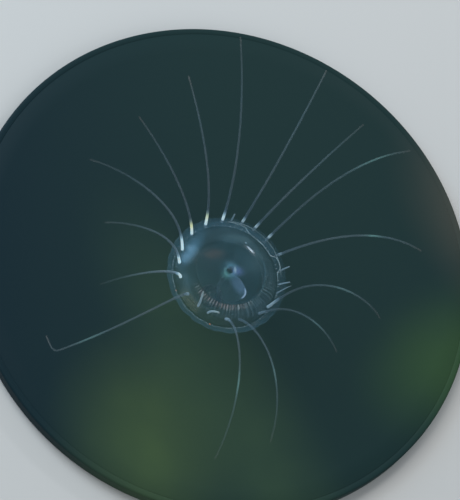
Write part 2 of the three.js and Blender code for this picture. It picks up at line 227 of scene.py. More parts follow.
class StandSettings(bpy.types.PropertyGroup):
    """Lacquered base and clear rod."""
    base_radius: size_setting("Base radius", 85.85, "Radius of the round base")
    base_bevel: size_setting("Base bevel", 0.8, "Radius of the base's rounded edges")
    rod_radius: size_setting("Rod radius", 0.72, "Radius of the slim rod")
    foot_radius: size_setting("Foot radius", 3.85, "Radius of the rod's round foot")
    lacquer_colour: colour_setting("Lacquer", (0.0015, 0.0125, 0.0285), "Colour of the base")
    green_colour: colour_setting("Green clouds", (0.034, 0.071, 0.045), "Second colour of the base")
    acrylic_colour: colour_setting("Acrylic", (0.10, 0.15, 0.17), "Colour of the rod's edges")


class StageSettings(bpy.types.PropertyGroup):
    """Floor, lights and camera."""
    floor_size: size_setting("Floor", 6000, "Side of the square floor")
    floor_colour: colour_setting("Floor colour", (0.62, 0.63, 0.63), "Colour of the floor")
    light: bpy.props.FloatProperty(
        name="Light", description="Brightness of the studio lights", default=1.0, min=0.0)
    elevation: angle_setting("Elevation", 63.5, "Angle of the camera above the horizon")
    roll: angle_setting("Roll", 36.6, "How far the camera is turned about its own axis")
    distance: size_setting("Distance", 1000, "From the camera to the point it looks at")
    view_height: size_setting("View height", 161.15, "Height of what the camera sees there")


class JellyfishSettings(bpy.types.PropertyGroup):
    """Everything a user may change."""
    bell: bpy.props.PointerProperty(type=BellSettings)
    organs: bpy.props.PointerProperty(type=OrganSettings)
    tentacles: bpy.props.PointerProperty(type=TentacleSettings)
    stand: bpy.props.PointerProperty(type=StandSettings)
    stage: bpy.props.PointerProperty(type=StageSettings)


# ---- Numbers ----

def mix(start, end, share):
    return start + (end - start) * share


def smoothstep(value, low, high):
    share = np.clip((value - low) / (high - low), 0.0, 1.0)
    return share * share * (3.0 - 2.0 * share)


def spline(points, steps):
    """Points along a smooth curve through the given ones, `steps` from each to the next."""
    knots = [np.array(point, float) for point in points]
    knots = [knots[0], *knots, knots[-1]]
    found = []
    for before, start, end, after in zip(knots, knots[1:], knots[2:], knots[3:]):
        for step in range(steps):
            t = step / steps
            found.append(0.5 * (
                2 * start + (end - before) * t + (2 * before - 5 * start + 4 * end - after) * t**2
                + (3 * start - before - 3 * end + after) * t**3))
    return found + [knots[-1]]


# ---- Meshes ----

def add_object(name, data):
    """A new object in the scene."""
    made = bpy.data.objects.new(name, data)
    bpy.context.scene.collection.objects.link(made)
    return made


def add_piece(name, corners, faces, centre=BELL_CENTRE):
    """A smooth piece from corners in millimetres, whose axis stands at the centre."""
    mesh = bpy.data.meshes.new(name)
    world = np.array(corners) * MM + np.array((centre.x, centre.y, BELL_CENTRE.z))
    mesh.from_pydata(world.tolist(), [], faces)
    mesh.shade_smooth()
    mesh.update()
    return add_object(name, mesh)


def mark_corners(piece, name, values):
    """Keeps a number for each corner, which the piece's material reads."""
    layer = piece.data.attributes.new(name, "FLOAT", "POINT")
    layer.data.foreach_set("value", np.array(values, np.float32))


def chart_over(across, along):
    """The chart of a grid, from the places of its columns and of its rows."""
    return np.stack(np.meshgrid(across, along), axis=2)


def grid_piece(name, points, chart, poles=(False, False), centre=BELL_CENTRE):
    """A smooth closed piece from rows of points, whose last column lies on the first.

    `chart` gives each point's place on the surface, and a row that is a pole is drawn to one point.
    """
    rows, columns = points.shape[0], points.shape[1] - 1
    at_pole = [row for row, pole in zip((0, rows - 1), poles) if pole]
    corners, starts = [], []
    for row in range(rows):
        starts.append(len(corners))
        corners.extend(points[row, :1 if row in at_pole else columns])

    def corner(row, column):
        return starts[row] + (0 if row in at_pole else column % columns)

    faces, places = [], []
    for row in range(rows - 1):
        for column in range(columns):
            face = {}
            for spot in ((row, column), (row, column + 1), (row + 1, column + 1), (row + 1, column)):
                face.setdefault(corner(*spot), chart[spot])
            faces.append(list(face))
            places.extend(face.values())
    piece = add_piece(name, corners, faces, centre)
    layer = piece.data.uv_layers.new(name="Chart")
    layer.data.foreach_set("uv", np.array(places, np.float32).ravel())
    return piece


def dress(piece, material, nodes=()):
    """Gives a piece its material and ties it to the frame."""
    piece.data.materials.append(material)
    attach(piece, "root")
    if nodes:
        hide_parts(*nodes)


def turned(name, profile, columns, shape=None, poles=(False, False), centre=BELL_CENTRE):
    """A piece turned round the bell's axis from rows of (radius, height, chart).

    `shape` may move the points: it takes radius, turn in radians and height as arrays.
    """
    radius, height, along = np.array(profile, float).T
    radius, turn = np.meshgrid(radius, np.linspace(0.0, TURN, columns + 1), indexing="ij")
    height = height[:, None] + 0 * turn
    if shape:
        radius, turn, height = shape(radius, turn, height)
    points = np.stack([radius * np.cos(turn), radius * np.sin(turn), height], axis=2)
    chart = chart_over(np.linspace(0.0, LAPPETS, columns + 1), along)
    return grid_piece(name, points, chart, poles, centre)


# ---- Materials ----

class Value:
    """An output inside a material, which takes part in sums like a plain number.

    Some outputs are points in the bell's frame, in millimetres, and some are colours.
    """

    def __init__(self, finish, socket):
        self.finish, self.socket = finish, socket

    def math(self, operation, *others):
        return self.finish.node("ShaderNodeMath", [self, *others], operation=operation)

    def __add__(self, other):
        return self.math("ADD", other)

    __radd__ = __add__

    def __sub__(self, other):
        return self.math("SUBTRACT", other)

    def __mul__(self, other):
        return self.math("MULTIPLY", other)

    def __truediv__(self, other):
        return self.math("DIVIDE", other)

    def __pow__(self, other):
        return self.math("POWER", other)

    def __abs__(self):
        return self.math("ABSOLUTE")

    def at_least(self, other):
        return self.math("MAXIMUM", other)

    def at_most(self, other):
        return self.math("MINIMUM", other)

    def clamped(self):
        """The same sum, kept from 0 to 1."""
        self.socket.node.use_clamp = True
        return self

    def between(self, low, high, start=0.0, end=1.0):
        """Runs smoothly from `start` to `end` while this runs from `low` to `high`."""
        return self.finish.node(
            "ShaderNodeMapRange", [self, low, high, start, end], interpolation_type="SMOOTHSTEP")

    def band(self, centre, width, soft):
        """1 inside a band of values, falling smoothly to 0 over `soft` outside it."""
        return abs(self - centre).between(width / 2 + soft, width / 2)

    def split(self):
        """x, y and z of a point."""
        parts = self.finish.node("ShaderNodeSeparateXYZ", [self]).socket.node.outputs
        return [Value(self.finish, part) for part in parts]

    def window(self, *ends):
        """Rises from 0 to 1 between the first two ends and falls back between the last two."""
        return self.between(*ends[:2]) * self.between(*ends[2:])

    def noise(self, scale, detail=3.0):
        return self.finish.node("ShaderNodeTexNoise", {"Vector": self, "Scale": scale, "Detail": detail})

    def radius(self):
        """How far a point is from the bell's axis."""
        x, y, _ = self.split()
        return self.finish.vector_math("LENGTH", [self.finish.vector(x, y)], 1)

    def patch(self, centre, size, turn=0.0):
        """A soft oval patch about a place, with `size` its half-lengths, turned in degrees."""
        moved = self.finish.vector_math("SUBTRACT", [self, (*centre, 0.0)])
        spun = self.finish.node("ShaderNodeVectorRotate", {"Vector": moved, "Angle": math.radians(-turn)})
        x, y, _ = spun.split()
        return ((x / size[0])**2.0 + (y / size[1])**2.0).math("SQRT").between(1.0, 0.0)

    def facing(self, azimuth, low, high):
        """1 on the side of the bell towards an azimuth, falling to 0 between two cosines."""
        x, y, _ = self.split()
        return (y.math("ARCTAN2", x) - math.radians(azimuth)).math("COSINE").between(low, high)

    def line_at_wholes(self, width):
        """1 where this is near a whole number, which is where the grooves are."""
        return abs((self + 0.5).math("FRACT") - 0.5).between(width, width * 0.3)

    def fibres(self, each):
        """Fine radial lines, `each` to a lappet, unevenly spaced and lit."""
        astray = self.finish.vector(self, 7.0).noise(1.7, 1.0) * 3.0
        wave = (self * (TURN * each) + astray).math("SINE")
        uneven = self.finish.vector(self, 0.0).noise(5.0, 1.0)
        return wave.between(-0.2, 1.0) * uneven.between(0.35, 0.6, 0.25, 1.0)

    def curve(self, stops):
        """A number that runs through (place, height) stops."""
        made = self.finish.node("ShaderNodeFloatCurve", {1: self})
        mapping = made.socket.node.mapping
        points = mapping.curves[0].points
        for stop in stops[1:-1]:
            points.new(*stop)
        for point, stop in zip(points, stops):
            point.location = stop
            point.handle_type = "AUTO_CLAMPED"
        mapping.update()
        return made

    def ramp(self, stops):
        """A colour that runs through (place, colour) stops."""
        made = self.finish.node("ShaderNodeValToRGB", [self])
        elements = made.socket.node.color_ramp.elements
        while len(elements) < len(stops):
            elements.new(1.0)
        for element, (place, colour) in zip(elements, stops):
            element.position = place
            element.color = (*colour, 1.0)
        return made

    def blend(self, first, second):
        """A colour that goes from the first to the second as this goes from 0 to 1."""
        return self.finish.node("ShaderNodeMix", {0: self, 6: first, 7: second}, 2, data_type="RGBA")


class Finish:
    """A material under construction. Its steps take values, plain numbers, points and colours."""

    def __init__(self, name, roughness, ior=1.4, **sockets):
        self.material = bpy.data.materials.new(name)
        self.material.use_nodes = True
        self.tree = self.material.node_tree
        self.tree.nodes.clear()
        self.shader = self.tree.nodes.new("ShaderNodeBsdfPrincipled")
        output = self.tree.nodes.new("ShaderNodeOutputMaterial")
        self.tree.links.new(self.shader.outputs["BSDF"], output.inputs["Surface"])
        for socket, value in dict(sockets, Roughness=roughness, IOR=ior).items():
            self.shader.inputs[socket.replace("_", " ")].default_value = value

    def put(self, socket, value):
        """Sets an input to a plain value, or links it to one that the material works out."""
        if isinstance(value, Value):
            self.tree.links.new(value.socket, socket)
        elif socket.type == "RGBA":
            socket.default_value = (*value, 1.0)
        else:
            socket.default_value = value

    def node(self, kind, inputs=(), output=0, **settings):
        made = self.tree.nodes.new(kind)
        for key, value in settings.items():
            setattr(made, key, value)
        for index, value in inputs.items() if isinstance(inputs, dict) else enumerate(inputs):
            self.put(made.inputs[index], value)
        return Value(self, made.outputs[output])

    def vector(self, x, y):
        return self.node("ShaderNodeCombineXYZ", [x, y])

    def vector_math(self, operation, inputs, output=0):
        return self.node("ShaderNodeVectorMath", inputs, output, operation=operation)

    def place(self):
        """The point in the bell's frame, in millimetres."""
        spot = self.node("ShaderNodeTexCoord", output="Object")
        return self.vector_math("SCALE", {0: self.vector_math("SUBTRACT", [spot, BELL_CENTRE]), 3: 1.0 / MM})

    def chart(self):
        """Across and along the surface, as the mesh's chart gives them."""
        return self.node("ShaderNodeUVMap", uv_map="Chart").split()[:2]

    def attribute(self, name):
        return self.node("ShaderNodeAttribute", output="Fac", attribute_name=name)

    def facing_edge(self, blend):
        """Rises to 1 where the surface is seen edge-on."""
        return self.node("ShaderNodeLayerWeight", {"Blend": blend}, "Facing")

    def bump(self, height, distance, strength):
        self.put(self.shader.inputs["Normal"], self.node(
            "ShaderNodeBump", {"Height": height, "Distance": distance * MM, "Strength": strength}))

    def done(self, colour, alpha=None, roughness=None):
        self.put(self.shader.inputs["Base Color"], colour)
        if alpha is not None:
            self.put(self.shader.inputs["Alpha"], alpha)
            self.material.surface_render_method = "BLENDED"
        if roughness is not None:
            self.put(self.shader.inputs["Roughness"], roughness)
        return self.material


def weighed(start, parts):
    """A value with weighted parts added to it."""
    for part, weight in parts:
        start = start + part * weight
    return start


def jelly_finish(bell):
    """Clear jelly: a painted highlight of paler blue jelly at one side, a painted glint on the dome, and
    fine broken lines along its rings and grooves.

    Places along the chart: 0 apex, 1 roots, 2 widest, 3 margin, 4 disc edge below, 5 socket, 6 end.
    """
    skin = Finish("bell_jelly", 0.12, 1.45)
    across, along = skin.chart()
    point = skin.place()
    cloud = point.noise(0.16, 4.0)
    grain = point.noise(1.1)
    broken = point.noise(0.32).between(0.35, 0.6, 0.65, 1.0)
    far_side = point.facing(78, 0.66, 0.80)
    near_side = point.facing(265, 0.1, 0.7)
    milk = (along / 6.0).curve([
        (0.0, 0.16), (0.10, 0.20), (0.125, 0.34), (0.155, 0.42), (0.18, 0.30), (0.25, 0.26),
        (0.333, 0.50), (0.42, 0.60), (0.5, 0.35), (0.52, 0.14), (0.62, 0.08), (0.70, 0.06), (1.0, 0.06)])
    clear = (near_side + far_side).clamped() * along.band(1.3, 0.4, 0.25).at_least(along.between(3.0, 3.2))
    milk = milk * clear.between(0.0, 1.0, 1.0, 0.3)
    milk = milk * point.facing(25, 0.65, 0.95).between(0.0, 1.0, 1.0, 0.5)
    milk = milk * cloud.between(0.25, 0.75, 0.7, 1.25)
    outside = along.between(2.2, 1.8)
    # Painted highlight: soft patches of paler, denser blue jelly on one side of the dome, where the side
    # lamp's own reflection also falls.
    haze_and_painted_highlight = outside * (point.patch((-14.1, -2.4), (3.8, 10.0), 6) * 0.18
                      + point.patch((-13.7, -5.6), (2.9, 5.8), 4) * 0.18)
    veil = weighed(0.0, [
        (point.patch(centre, size, turn), weight) for centre, size, turn, weight in (
            ((-4.8, 7.8), (8.5, 3.4), 36, 0.17), ((-6.5, 11.6), (9.0, 3.0), 36, 0.06),
            ((9.5, 9.0), (7.0, 4.0), -45, 0.03), ((2.0, 8.6), (7.5, 3.2), -8, 0.12),
            ((-9.4, -13.4), (2.8, 6.5), 56, 0.12), ((-14.5, -9.0), (2.6, 5.0), 30, 0.07),
            ((4.8, 3.2), (10.0, 7.0), 20, 0.13))])
    veil = veil * (outside * cloud.between(0.3, 0.7, 0.75, 1.15))
    # Painted glint: a small pale streak and dot on the dome, under the strip lamp's own reflection, which
    # the denser jelly there makes brighter.
    painted_glint = (point.patch((1.2, 7.5), (2.9, 0.7), -9) + point.patch((-1.2, 8.6), (0.5, 0.4))).clamped()
    painted_glint = (along.between(1.0, 0.98) * painted_glint).between(0.1, 0.7)
    silhouette = skin.facing_edge(0.5).between(0.45, 0.9) * along.window(1.5, 1.8, 2.8, 2.6)
    root_line = along.band(1.01, 0.04, 0.015) * far_side.between(0.0, 1.0, 0.0, 0.34)
    # On the far side the line of the margin runs out over the lappets' edge here and there.
    x, y, _ = point.split()
    strayed = (y.math("ARCTAN2", x) / TURN + 1.0).math("FRACT").curve([
        (0.0, 0.0), (0.11, 0.0), (0.145, 1.0), (0.162, 1.0), (0.180, 0.0), (0.25, 0.0), (0.285, 0.85),
        (0.32, 1.0), (0.37, 0.6), (0.42, 0.0), (1.0, 0.0)])
    margin_line = (along + strayed * 0.45).band(2.9, 0.07, 0.03) * (
        far_side.between(0.0, 1.0, 0.05, 0.4) + near_side.between(0.0, 1.0, 0.0, 0.10))
    grooves = across.line_at_wholes(0.018) * along.window(0.995, 1.02, 3.3, 3.1)
    grooves = grooves * near_side.between(0.0, 1.0, 0.10, 0.05)
    # Muscle lines run round the inside of the lappets, parallel to the margin.
    muscle = point.facing(254, 0.94, 0.99) * along.between(2.95, 3.05)
    under = along.window(3.05, 3.1, 3.9, 3.7)
    strands = (along * 50.0).math("SINE").between(0.0, 1.0) * (under * muscle)
    strands = strands * grain.between(0.3, 0.6, 0.18, 0.45)
    tissue = muscle * along.window(3.0, 3.1, 4.05, 3.8)
    # Fine fibres run out from the gonads over the underside of the lens.
    rays = across.fibres(GONAD_RIDGES) * along.window(3.6, 3.75, 4.26, 4.2)
    rays = rays * (point.facing(322, 0.1, 0.6) * grain.between(0.4, 0.6, 0.09, 0.22))
    lens_edge = along.band(4.0, 0.45, 0.15) * point.facing(280, 0.0, 0.7)
    seam = point.radius().band(11.5, 0.3, 0.25) * (along.between(3.9, 4.0) * point.facing(350, -0.1, 0.6))
    lines = (root_line + margin_line + grooves) * broken + (strands + rays)
    total = milk * bell.haze_and_painted_highlight + haze_and_painted_highlight + veil + lines + silhouette * far_side.between(0.0, 1.0, 0.08, 0.24)
    total = total + tissue * 0.05 + lens_edge * 0.025 + seam * 0.07
    total = total.at_least(painted_glint * 0.44)
    jelly = cloud.between(0.35, 0.7).blend(bell.jelly_colour, (0.11, 0.28, 0.40))
    jelly = (veil * 6.0).clamped().blend(jelly, (0.16, 0.33, 0.42))
    pale = ((lines + silhouette * 0.10) * 5.0).clamped()
    colour = pale.blend(jelly, bell.line_colour)
    colour = muscle.blend(colour, (strands * 5.0).clamped().blend((0.20, 0.30, 0.26), (0.50, 0.56, 0.40)))
    # The painted highlight's pale blue colour.
    colour = (haze_and_painted_highlight * 2.6).clamped().blend(colour, bell.painted_highlight_colour)
    # The painted glint's pale blue-white colour.
    colour = painted_glint.blend(colour, (0.55, 0.79, 1.0))
    skin.bump(point.noise(0.16, 1.0), 0.2, 0.3)
    return skin.done(colour, total.at_most(0.9))


def velum_finish():
    """A thin film with faint ring muscles."""
    film = Finish("velum_film", 0.3, 1.38)
    _, along = film.chart()
    grain = film.place().noise(0.9)
    strand = (along * 60.0).math("SINE").between(-0.2, 1.0)
    edge = along.between(0.12, 0.0)
    film.bump(strand, 0.05, 0.4)
    return film.done(
        strand.blend((0.14, 0.30, 0.40), (0.34, 0.50, 0.58)),
        strand * 0.010 + edge * 0.02 + grain.between(0.3, 0.8, 0.008, 0.03))


def stomach_finish(organs):
    """The dark glassy stomach wall, paler and iridescent round the mouth, with a brown patch and a painted
    highlight beside the mouth.
    """
    wall = Finish("stomach_wall", 0.22, 1.42)
    point = wall.place()
    radius = point.radius()
    _, share = wall.chart()
    cloud = point.noise(0.22, 4.0)
    grain = point.noise(1.4)
    halo = radius.between(4.4, 1.0) * point.facing(54, -0.9, 0.5).between(0.0, 1.0, 0.4, 1.05)
    violet = point.patch((2.4, 1.5), (3.4, 2.6), 35)
    green = point.patch((-0.1, -2.1), (2.8, 2.2), 30)
    brown = point.patch((-7.3, 1.3), (5.6, 2.9), 38) * cloud.between(0.3, 0.6, 0.5, 1.0)
    # Painted highlight: a pale crescent beside the mouth.
    painted_mouth_highlight = point.patch((1.2, 1.1), (1.9, 0.75), -48)
    outer = organs.stomach_radius / MM
    rim = radius.between(outer - 1.2, outer - 0.3) * point.facing(-30, 0.2, 0.9)
    colour = cloud.between(0.35, 0.75).blend(organs.stomach_colour, (0.056, 0.155, 0.200))
    for part, tint in ((rim, (0.02, 0.06, 0.08)), (halo, (0.13, 0.33, 0.46)), (violet, (0.14, 0.24, 0.50)),
                       (green, (0.12, 0.38, 0.38)), (painted_mouth_highlight, (0.36, 0.54, 0.66)),
                       (brown * 0.9, (0.22, 0.155, 0.125))):
        colour = part.blend(colour, tint)
    edge = radius.between(outer - 2.6, outer) * point.facing(100, -0.3, 0.5)
    alpha = grain.between(0.3, 0.8, 0.08, 0.12) * (
        edge.between(0.0, 1.0, 1.0, 0.3) * share.between(1.0, 0.995))
    alpha = weighed(alpha, (
        (halo, 0.30), (violet, 0.12), (green, 0.06), (brown, 0.09), (rim, 0.03), (painted_mouth_highlight, 0.17)))
    wall.bump(cloud, 0.2, 0.15)
    return wall.done(colour, alpha.at_most(0.8))


def pouch_finish():
    """Thin blue skin whose turned edge has a painted highlight, a pale blue-white arc, on one side."""
    skin = Finish("stomach_pouch", 0.2, 1.42)
    across, along = skin.chart()
    grain = skin.place().noise(0.8)
    edge = along.band(0.94, 0.04, 0.07)
    turn = (across + 0.5).math("FRACT")
    # Painted highlight: a pale blue-white arc on one side of the turned edge.
    bright = edge * turn.band(0.545, 0.07, 0.05)
    lobe = turn.band(0.68, 0.14, 0.17) * along.between(0.0, 0.55)
    colour = lobe.blend((0.10, 0.22, 0.30), (0.18, 0.34, 0.54))
    colour = bright.blend(colour, (0.46, 0.66, 0.90))
    skin.bump(grain, 0.1, 0.4)
    return skin.done(colour, weighed(
        grain.between(0.3, 0.8, 0.02, 0.07), ((edge, 0.05), (lobe, 0.24), (bright, 0.58))))


def gonad_finish(organs):
    """Fine radial pleats: red-brown on one side, glassy and nearly clear towards the other."""
    pleat = Finish("gonads", 0.45, 1.4)
    across, along = pleat.chart()
    point = pleat.place()
    brown = point.facing(-70, 0.5, 0.95)
    plain = point.facing(-15, 0.0, 0.9)
    streak = pleat.vector(across, along * 0.2).noise(5.0)
    ray = across.fibres(GONAD_RIDGES)
    ragged = pleat.vector(across, 0.0).noise(4.0, 2.0).between(0.3, 0.7, 0.55, 1.0)
    ends = along.between(0.0, 0.1) * (along / ragged).between(1.0, 0.6)
    alpha = ray * ends * streak.between(0.3, 0.6, 0.27, 0.58) * brown + brown * ends * 0.02
    ticks = ray * plain * along.between(0.4, 0.1)
    colour = brown.blend((0.12, 0.28, 0.34), organs.gonad_colour)
    colour = streak.between(0.5, 0.7).blend(colour, (0.30, 0.36, 0.38))
    pleat.bump(ray, 0.06, 0.4)
    return pleat.done(colour, alpha + ticks * 0.25 + 0.01)


def lip_finish(organs):
    """Soft lip of the mouth, blue with a violet edge."""
    lip = Finish("mouth_lip", 0.25, 1.4)
    point = lip.place()
    grain = point.noise(2.2)
    x, y, _ = point.split()
    colour = (x + y * 0.5).between(-1.5, 1.5).blend((0.16, 0.40, 0.40), organs.lip_colour)
    colour = grain.between(0.45, 0.75, 0.0, 0.5).blend(colour, (0.42, 0.56, 0.66))
    lip.bump(grain, 0.08, 0.6)
    return lip.done(colour, grain.between(0.3, 0.75, 0.22, 0.5))


def tentacle_finish(tentacles):
    """Stiff glassy flesh: white roots that give out a painted glow, grey-blue middles with a painted
    sea-green gleam, brownish tips.
    """
    flesh = Finish("tentacle_flesh", 0.32, 1.4, Emission_Strength=tentacles.painted_root_glow)
    _, along = flesh.chart()
    glow, warm, shine, share, tone = map(flesh.attribute, ("glow", "warm", "shine", "share", "tone"))
    point = flesh.place()
    grain = point.noise(0.5)
    speck = point.noise(3.5, 2.0)
    rings = (along * TURN).math("SINE").between(-0.8, 1.0)
    body = share.ramp([
        (0.0, (0.13, 0.22, 0.30)), (0.35, tentacles.flesh_colour), (0.75, (0.11, 0.185, 0.23)),
        (0.93, (0.125, 0.175, 0.20)), (1.0, (0.17, 0.17, 0.165))])
    body = grain.between(0.45, 0.8, 0.0, 0.4).blend(body, (0.18, 0.25, 0.29))
    # Painted sheen: a sea-green gleam partway along some tentacles.
    body = shine.blend(body, (0.22, 0.50, 0.48))
    lit = glow.ramp([
        (0.0, (0.24, 0.41, 0.53)), (0.4, (0.40, 0.60, 0.74)), (0.8, tentacles.glow_colour)])
    lit = warm.blend(lit, (0.90, 0.93, 0.50))
    # Painted glow: the white roots emit light in their own colour, so they stay bright on their shaded side.
    flesh.put(flesh.shader.inputs["Emission Color"], (glow**1.5).blend((0.0, 0.0, 0.0), lit))
    alpha = share.curve([(0.0, 0.40), (0.3, 0.34), (0.75, 0.32), (1.0, 0.22)])
    alpha = alpha * rings.between(0.0, 1.0, 0.82, 1.05) * speck.between(0.3, 0.75, 0.8, 1.2) * tone
    alpha = alpha + glow * 0.6 + shine * 0.15
    flesh.bump(rings, 0.04, 0.6)
    return flesh.done((glow**0.6).blend(body, lit), alpha.at_most(1.0))


def sense_organ_finish():
    """Small clubs with a bright grain inside, orange in some and pearly in the rest."""
    club = Finish("sense_organs", 0.3, 1.45)
    warm = club.attribute("warm")
    grain = club.place().noise(4.0, 2.0)
    bright = grain.between(0.35, 0.7)
    pale = bright.blend((0.40, 0.56, 0.66), (0.62, 0.72, 0.78))
    orange = bright.blend((0.88, 0.20, 0.05), (1.0, 0.52, 0.24))
    return club.done(warm.blend(pale, orange), warm * 0.5 + grain.between(0.3, 0.7, 0.18, 0.4))


def lacquer_finish(stand):
    """Dark sea-coloured lacquer with soft green and brown clouds, and a fine eggshell grain."""
    lacquer = Finish("stand_lacquer", 0.5, 1.45, Specular_IOR_Level=0.1)
    point = lacquer.place()
    cloud = point.noise(0.03)
    fine = point.noise(3.0, 4.0)
    slope = lacquer.vector_math("DOT_PRODUCT", [point, (0.8, 0.6, 0.0)], 1)
    colour = slope.between(-150.0, 20.0).blend(stand.lacquer_colour, (0.013, 0.036, 0.037))
    for centre, size, turn, tint in (
            ((29.0, -30.0), (100.0, 30.0), -26, stand.green_colour),
            ((12.0, -56.0), (36.0, 47.0), 45, (0.056, 0.102, 0.046)),
            ((78.0, 35.0), (31.0, 45.0), -19, (0.035, 0.082, 0.038)),
            ((109.0, 97.0), (98.0, 53.0), 0, (0.20, 0.166, 0.125))):
        glow = (point.patch(centre, size, turn) * cloud.between(0.3, 0.65, 0.8, 1.1)).clamped()
        colour = glow.blend(colour, tint)
    colour = fine.between(0.4, 0.8, 0.0, 0.25).blend(colour, (0.014, 0.034, 0.036))
    lacquer.bump(fine, 0.03, 0.3)
    return lacquer.done(colour, roughness=fine.between(0.3, 0.7, 0.45, 0.58))


def acrylic_finish(stand):
    """Clear acrylic, more opaque where it is seen edge-on, with faint lines left by the lathe."""
    acrylic = Finish("clear_acrylic", 0.08, 1.49)
    point = acrylic.place()
    _, _, z = point.split()
    smear = point.noise(0.5)
    acrylic.bump((z * 21.0).math("SINE").between(0.2, 1.0), 0.01, 0.3)
    return acrylic.done(
        stand.acrylic_colour, acrylic.facing_edge(0.35)**2.0 * 0.55 + smear.between(0.3, 0.7, 0.05, 0.10))


# ---- The bell ----

def dome_height(radius, top):
    """Height of the bell's outside, out to the roots of the tentacles."""
    reach = ROOT_RADIUS / (1.0 - ROOT_HEIGHT / top)**(1.0 / DOME_POWER)
    return top * (1.0 - (radius / reach)**DOME_POWER)


def lappet_turns(columns):
    """The azimuth of every column: the lappets have as many columns each, grooves at their ends."""
    ends = AZIMUTHS + [AZIMUTHS[0] + 360]
    each = columns // LAPPETS
    turns = [mix(start, end, step / each) for start, end in zip(ends, ends[1:]) for step in range(each)]
    return np.radians(np.array(turns + [ends[-1]]))


def bell_skin(bell):
    """One skin over the dome, round the lappets and under the jelly to the socket of the rod."""
    top, wide = bell.dome_height / MM, bell.radius / MM
    inner = DISC_RADIUS + 0.3
    knots = [
        (inner, dome_height(inner, top)), (ROOT_RADIUS, ROOT_HEIGHT),
        (mix(ROOT_RADIUS, wide, 0.6), mix(ROOT_HEIGHT, RIM_HEIGHT, 0.35)), (wide, RIM_HEIGHT),
        (mix(wide, LIP_RADIUS, 0.35), mix(RIM_HEIGHT, LIP_HEIGHT, 0.8)), (LIP_RADIUS, LIP_HEIGHT),
        (MARGIN_RADIUS, MARGIN_HEIGHT), (16.8, 1.9), (16.05, 3.85), (15.2, 5.0), (14.2, DISC_UNDERSIDE),
        (LENS_RADIUS, DISC_UNDERSIDE)]
    steps = 9
    rim = spline(knots, steps)
    zones = [
        [(r, dome_height(r, top)) for r in np.linspace(0.0, ROOT_RADIUS, 44)],
        rim[steps:3 * steps + 1], rim[3 * steps:6 * steps + 1], rim[6 * steps:9 * steps + 1],
        rim[9 * steps:] + [(mix(LENS_RADIUS, SOCKET_RADIUS, s), mix(DISC_UNDERSIDE, SOCKET_MOUTH, s))
                           for s in np.linspace(0.1, 1, 12)],
        [(SOCKET_RADIUS, SOCKET_MOUTH), (SOCKET_RADIUS, SOCKET_TOP - 0.2),
         (SOCKET_RADIUS - 0.2, SOCKET_TOP), (0.0, SOCKET_TOP)],
    ]
    rows = []
    for start, points in enumerate(zones):
        table = np.array(points)
        length = np.concatenate([[0.0], np.cumsum(np.linalg.norm(np.diff(table, axis=0), axis=1))])
        rows += [(*point, start + share) for point, share in zip(table[:-1], length / length[-1])]
    rows.append((0.0, SOCKET_TOP, len(zones)))

    columns = LAPPETS * 20
    turns = lappet_turns(columns)
    share = np.linspace(0.0, LAPPETS, columns + 1) % 1.0
    groove = 1.0 - np.sqrt(np.sin(np.pi * share) + 0.02) / math.sqrt(1.02)

    def shape(radius, turn, height):
        outer = smoothstep(radius, ROOT_RADIUS, wide)
        low = np.clip((RIM_HEIGHT - height) / (RIM_HEIGHT - LIP_HEIGHT), 0.0, 1.0)
        low = low * (radius > ROOT_RADIUS - 1.0)
        swell = 0.05 * np.sin(9 * turns + 1.0) * smoothstep(radius, 8.0, 15.0) * (radius < ROOT_RADIUS)
        return (radius - bell.groove_depth / MM * groove * outer, turns,
                height + bell.groove_lift / MM * groove * low + swell)

    return turned("bell_skin", rows, columns, shape, poles=(True, True))


def velum_skin(organs):
    """The shelf inside the margin, sagging to a thin, gently frilled edge."""
    inner, outer = organs.velum_inner / MM, organs.velum_outer / MM
    edge_height, half = -1.5, 0.28

    def side(offset):
        return [(mix(inner, outer, s), mix(edge_height, MARGIN_HEIGHT, s) + offset * mix(0.35, 1.0, s), s)
                for s in np.linspace(0.0, 1.0, 12)]

    def shape(radius, turn, height):
        free = 1.0 - smoothstep(radius, inner, outer)
        frill = 0.08 * free * np.sin(14 * turn + 0.7)
        return radius + 0.1 * free * (1.0 + np.sin(21 * turn)), turn, height + frill

    under = side(-half)
    return turned("velum_skin", under + side(half)[::-1] + under[:1], 252, shape)


def stomach_skin(organs):
    """The flat sac under the jelly, with soft folds that run out from the mouth."""
    outer = organs.stomach_radius / MM
    shares = np.linspace(0.0, 1.0, 24)
    flat = [(mix(MOUTH_RADIUS + 0.05, outer - 0.15, s), s) for s in shares]
    under = [(r, STOMACH_FLOOR + 0.05, s) for r, s in flat]
    edge = [(outer, mix(STOMACH_FLOOR + 0.25, STOMACH_ROOF - 0.25, s), 1.0) for s in (0.0, 0.5, 1.0)]
    over = [(r, STOMACH_ROOF + 0.35 * (1 - s), s) for r, s in reversed(flat)]

    def shape(radius, turn, height):
        fold = 0.10 * np.sin(8 * turn + 0.3 * radius) * smoothstep(radius, 1.5, 5.0)
        fold = fold * (1.0 - smoothstep(radius, outer - 2.5, outer - 0.3))
        low = np.where(height < mix(STOMACH_FLOOR, STOMACH_ROOF, 0.5), 1.0, 0.6)
        return radius, turn, height + fold * low

    return turned("stomach_sac", under + edge + over + under[:1], 240, shape)


